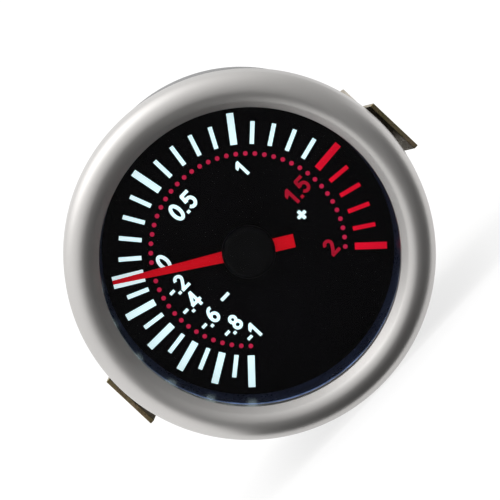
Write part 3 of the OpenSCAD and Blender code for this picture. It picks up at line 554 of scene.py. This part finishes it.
def threaded(name, x, z, y0, y1, r, pitch, depth, body, slot, steps=40, per_pitch=8):
    """Round rod with a helical thread and a chamfered end."""
    rings = int((y1 - y0) / pitch * per_pitch)
    verts, faces = [], []
    for k in range(rings + 1):
        y = y0 + (y1 - y0) * k / rings
        for i in range(steps):
            a = 2 * math.pi * i / steps
            phase = ((y - y0) / pitch - i / steps) % 1.0
            cut = depth * max(0.0, 1 - abs(phase - 0.5) / 0.38)
            rr = min(r - cut, r - 0.45 + (y1 - y))
            verts.append((x + rr * math.cos(a), y, z + rr * math.sin(a)))
    for k in range(rings):
        for i in range(steps):
            j = (i + 1) % steps
            faces.append((k * steps + i, k * steps + j, (k + 1) * steps + j, (k + 1) * steps + i))
    faces.append(tuple(range(steps)))
    faces.append(tuple(rings * steps + i for i in reversed(range(steps))))
    return make(name, verts, faces, slot, body, 55)


for side, label in ((-1, "left"), (1, "right")):
    stud = threaded(f"{label}_stud_thread", side * 17, -3, 34.82, 53.0, 1.99, 0.7, 0.32, CASE, "steel_bright")
    head = [(0, 33.0), (3.2, 33.0), (3.2, 34.0), (1.99, 34.0), (1.99, 34.85), (0, 34.85)]
    lathe(f"{label}_stud_head", head, "steel_bright", CASE, 64, (side * 17, -3))
    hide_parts("bracket_studs")

# -------------------------------------------------- floor, light and camera
FLOOR_Z = -0.0300


def stage_plane(name, outline, z, material):
    me = bpy.data.meshes.new(name)
    me.from_pydata([(x, y, z) for x, y in outline], [], [tuple(range(len(outline)))])
    me.materials.append(material)
    o = bpy.data.objects.new(name, me)
    scene.collection.objects.link(o)
    return o


m, nt, p, _ = nodes_of("floor_pale")
p.inputs["Roughness"].default_value = 0.9
p.inputs["Specular IOR Level"].default_value = 0.0
grain = noise(nt, coords(nt), 30, 3)
pale = blend_rgb(nt, remap(nt, grain, 0, 1), (0.78, 0.78, 0.78), (0.8, 0.8, 0.8))
lp = nt.nodes.new("ShaderNodeLightPath")
seen = maths(nt, "MAXIMUM", lp.outputs["Is Camera Ray"],
             maths(nt, "MAXIMUM", lp.outputs["Is Glossy Ray"], lp.outputs["Is Transmission Ray"]))
nt.links.new(blend_rgb(nt, seen, pale, (0.28, 0.28, 0.28)), p.inputs["Base Color"])
p.inputs["Emission Color"].default_value = (1, 1, 1, 1)
nt.links.new(maths(nt, "MULTIPLY", seen, 0.74), p.inputs["Emission Strength"])
stage_plane("floor", [(-6, -6), (6, -6), (6, 6), (-6, 6)], FLOOR_Z, m)

# A dark card lies before the object, out of the picture, and shows only in its gloss: a painted dark
# reflection in the bezel and the lens.
m, nt, p, _ = nodes_of("dark_reflection_card")
p.inputs["Roughness"].default_value = 0.9
p.inputs["Specular IOR Level"].default_value = 0.0
nt.links.new(blend_rgb(nt, noise(nt, coords(nt), 20), (0.10, 0.10, 0.10), (0.12, 0.12, 0.12)),
             p.inputs["Base Color"])
card = stage_plane("card", [(-0.8, -1.6), (0.8, -1.6), (0.8, -0.0065), (-0.031, -0.0065), (-0.07, -0.12),
                            (-0.8, -1.0)], FLOOR_Z + 0.0002, m)
card.visible_camera = False
card.visible_diffuse = False
card.visible_shadow = False

w = bpy.data.worlds.new("studio")
scene.world = w
w.use_nodes = True
nt = w.node_tree
nt.nodes.clear()
out = nt.nodes.new("ShaderNodeOutputWorld")
tc = nt.nodes.new("ShaderNodeTexCoord")


def glow(direction, stops):
    """Grey level by the angle from a direction; stops are (cosine, level)."""
    dot = nt.nodes.new("ShaderNodeVectorMath")
    dot.operation = "DOT_PRODUCT"
    dot.inputs[1].default_value = direction
    nt.links.new(tc.outputs["Generated"], dot.inputs[0])
    ramp = nt.nodes.new("ShaderNodeValToRGB")
    while len(ramp.color_ramp.elements) < len(stops):
        ramp.color_ramp.elements.new(0.5)
    for e, (cosine, level) in zip(ramp.color_ramp.elements, stops):
        e.position = cosine * 0.5 + 0.5
        e.color = (level, level, level, 1)
    nt.links.new(maths(nt, "ADD", maths(nt, "MULTIPLY", dot.outputs["Value"], 0.5), 0.5), ramp.inputs[0])
    return ramp.outputs[0]


broad = glow((-0.44, 0.20, 0.875), [(-1, 0.15), (-0.37, 0.30), (0, 0.48), (0.24, 0.70), (0.47, 0.83),
                                    (0.74, 0.85), (1, 0.87)])
near = glow((-0.12, 0.15, 0.981), [(0.72, 0), (0.86, 0.30), (0.97, 1), (1, 1)])
room = nt.nodes.new("ShaderNodeBackground")
room.inputs["Color"].default_value = (1, 1, 1, 1)
nt.links.new(maths(nt, "ADD", maths(nt, "MULTIPLY", broad, 1.2), maths(nt, "MULTIPLY", near, 1.0)),
             room.inputs["Strength"])
plain = nt.nodes.new("ShaderNodeBackground")
plain.inputs[0].default_value = (1, 1, 1, 1)
lp = nt.nodes.new("ShaderNodeLightPath")
mix = nt.nodes.new("ShaderNodeMixShader")
nt.links.new(lp.outputs["Is Camera Ray"], mix.inputs[0])
nt.links.new(room.outputs[0], mix.inputs[1])
nt.links.new(plain.outputs[0], mix.inputs[2])
nt.links.new(mix.outputs[0], out.inputs[0])


def softbox(name, azimuth, elevation, distance, size, watts):
    a, e = math.radians(azimuth), math.radians(elevation)
    d = Vector((math.sin(a) * math.cos(e), -math.cos(a) * math.cos(e), math.sin(e)))
    li = bpy.data.lights.new(name, "AREA")
    li.shape = "SQUARE"
    li.size = size
    li.energy = watts
    o = bpy.data.objects.new(name, li)
    o.location = d * distance
    o.rotation_euler = d.to_track_quat("Z", "Y").to_euler()
    o.visible_camera = False
    scene.collection.objects.link(o)


softbox("key", -60, 72, 1.6, 1.2, 3)

# The camera sits 1.5 m away, a little above and to the right, and is rolled as in the photograph
AZ, EL, ROLL, DIST = math.radians(4.429), math.radians(7.58), math.radians(46.807), 1.5
PX_PER_MM, PICTURE_PX, SENSOR = 6.1954, 500, 36
SHIFT_PX = (1.2, 2.3)
toward = Vector((math.sin(AZ) * math.cos(EL), -math.cos(AZ) * math.cos(EL), math.sin(EL)))
right = Vector((0, 0, 1)).cross(toward).normalized()
up = toward.cross(right)
cam_x = right * math.cos(ROLL) - up * math.sin(ROLL)
cam_y = right * math.sin(ROLL) + up * math.cos(ROLL)
cam = bpy.data.cameras.new("camera")
cam.sensor_width = SENSOR
cam.lens = PX_PER_MM * (DIST / MM) / PICTURE_PX * SENSOR
cam.clip_end = 100
co = bpy.data.objects.new("camera", cam)
co.matrix_world = Matrix((cam_x, cam_y, toward)).transposed().to_4x4()
co.location = toward * DIST + (cam_x * SHIFT_PX[0] + cam_y * SHIFT_PX[1]) * (MM / PX_PER_MM)
scene.collection.objects.link(co)
scene.camera = co
scene.view_settings.view_transform = "Standard"
